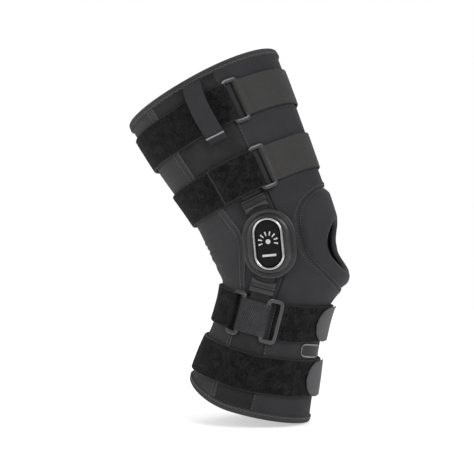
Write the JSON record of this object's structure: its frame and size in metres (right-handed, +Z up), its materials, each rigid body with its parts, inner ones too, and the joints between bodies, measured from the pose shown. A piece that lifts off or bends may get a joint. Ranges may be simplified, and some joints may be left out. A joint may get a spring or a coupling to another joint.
{
  "type": "hinged knee brace",
  "caption": "Hinged wrap knee brace: neoprene sleeve in three zones with a patella opening, a two-pivot geared hinge on each side, and hook-and-loop straps through slotted rings.",
  "frame": {"origin": "knee centre: midway between the two hinges and between each hinge's two pivots", "axes": "+Z up along the standing leg, +X to the front of the knee, -Y to the outer (lateral) side"},
  "size_m": [0.2318, 0.2056, 0.3901],
  "materials": {
    "neoprene": "nylon-faced neoprene, matt",
    "binding_tape": "knitted edge binding, cover stitched",
    "foam_pad": "fabric-faced foam",
    "steel_plate": "stamped",
    "steel_rivet": "satin",
    "acetal_stop": "moulded",
    "hinge_plastic": "moulded, fine satin",
    "arm_plastic": "moulded, fine satin",
    "black_aluminium": "black anodised",
    "silver_trim": "silver lacquered",
    "badge_plastic": "satin black",
    "ring_plastic": "moulded nylon",
    "webbing": "twill webbing",
    "pull_tape": "folded knit tape",
    "bar_metal": "bright bar",
    "hook_tab": "smooth tricot over hook tape",
    "label_fabric": "printed satin, left blank",
    "elastic_strap": "woven elastic",
    "loop_pile": "brushed loop pile"
  },
  "bodies": {
    "thigh": {"thigh_front_panel": "neoprene", "thigh_back_panel": "neoprene", "thigh_side_lateral": "neoprene", "thigh_side_medial": "neoprene", "top_binding": "binding_tape", "upper_thigh_strap_front": "elastic_strap", "upper_thigh_strap_back": "loop_pile", "lower_thigh_strap_front": "elastic_strap", "lower_thigh_strap_back": "loop_pile", "upper_thigh_ring_lateral": "ring_plastic", "upper_thigh_ring_medial": "ring_plastic", "lower_thigh_ring_lateral": "ring_plastic", "lower_thigh_ring_medial": "ring_plastic", "upper_upright_lateral": "black_aluminium", "upper_upright_medial": "black_aluminium", "upper_arm_cover_lateral": "arm_plastic", "upper_arm_cover_medial": "arm_plastic", "pull_loop_lateral": "pull_tape", "pull_loop_medial": "pull_tape", "pull_loop_bars": "bar_metal"},
    "housing": {"knee_front_panel": "neoprene", "knee_back_panel": "neoprene", "knee_side_lateral": "neoprene", "knee_side_medial": "neoprene", "patella_buttress": "foam_pad", "condyle_pad_lateral": "foam_pad", "condyle_pad_medial": "foam_pad", "hinge_plates_lateral": "steel_plate", "hinge_plates_medial": "steel_plate", "hinge_cover_lateral": "hinge_plastic", "hinge_cover_medial": "hinge_plastic", "pivot_rivets": "steel_rivet", "hinge_stops": "acetal_stop"},
    "calf": {"calf_front_panel": "neoprene", "calf_back_panel": "neoprene", "calf_side_lateral": "neoprene", "calf_side_medial": "neoprene", "bottom_binding": "binding_tape", "upper_calf_strap_front": "loop_pile", "upper_calf_strap_back": "loop_pile", "upper_calf_webbing_lateral": "webbing", "upper_calf_webbing_medial": "webbing", "calf_front_ring_lateral": "ring_plastic", "calf_front_ring_medial": "ring_plastic", "calf_rear_ring_lateral": "ring_plastic", "calf_rear_ring_medial": "ring_plastic", "lower_calf_strap": "loop_pile", "size_label": "label_fabric", "lower_upright_lateral": "black_aluminium", "lower_upright_medial": "black_aluminium", "lower_arm_cover_lateral": "arm_plastic", "lower_arm_cover_medial": "arm_plastic"},
    "lower_thigh_tab": {"lower_thigh_strap_tab": "hook_tab"},
    "upper_calf_tab": {"upper_calf_strap_tab": "hook_tab"},
    "lower_calf_tab": {"lower_calf_strap_tab": "hook_tab"},
    "lateral_badge": {"badge_bezel_lateral": "silver_trim", "badge_face_lateral": "badge_plastic"},
    "medial_badge": {"badge_bezel_medial": "silver_trim", "badge_face_medial": "badge_plastic"}
  },
  "joints": [
    {"name": "knee_upper_pivot", "type": "hinge", "parent": "thigh", "child": "housing", "pos_m": [-0.00115, 0, 0.01194], "axis": [0, 1, 0], "range_deg": [-20, 25], "deforming": ["knee_front_panel", "knee_back_panel", "knee_side_lateral", "knee_side_medial"]},
    {"name": "knee_lower_pivot", "type": "hinge", "parent": "housing", "child": "calf", "pos_m": [0.00115, 0, -0.01194], "axis": [0, 1, 0], "range_deg": [-20, 25], "deforming": ["knee_front_panel", "knee_back_panel", "knee_side_lateral", "knee_side_medial"]},
    {"name": "lower_thigh_tab_peel", "type": "hinge", "parent": "thigh", "child": "lower_thigh_tab", "pos_m": [-0.01697, -0.07454, 0.07295], "axis": [-0.4082, -0.1669, 0.8975], "range_deg": [0, 75]},
    {"name": "upper_calf_tab_peel", "type": "hinge", "parent": "calf", "child": "upper_calf_tab", "pos_m": [0.05222, 0.00582, -0.08307], "axis": [0.2506, -0.0001, 0.9681], "range_deg": [0, 70]},
    {"name": "lower_calf_tab_peel", "type": "hinge", "parent": "calf", "child": "lower_calf_tab", "pos_m": [0.04215, 0.00585, -0.13965], "axis": [0.1297, -0.001, 0.9916], "range_deg": [0, 70]},
    {"name": "lateral_badge_pull", "type": "slide", "parent": "housing", "child": "lateral_badge", "axis": [0, -1, 0], "range_m": [0, 0.01]},
    {"name": "medial_badge_pull", "type": "slide", "parent": "housing", "child": "medial_badge", "axis": [0, 1, 0], "range_m": [0, 0.01]}
  ],
  "couplings": [
    {"joint": "knee_lower_pivot", "follows": "knee_upper_pivot", "ratio": 1}
  ]
}
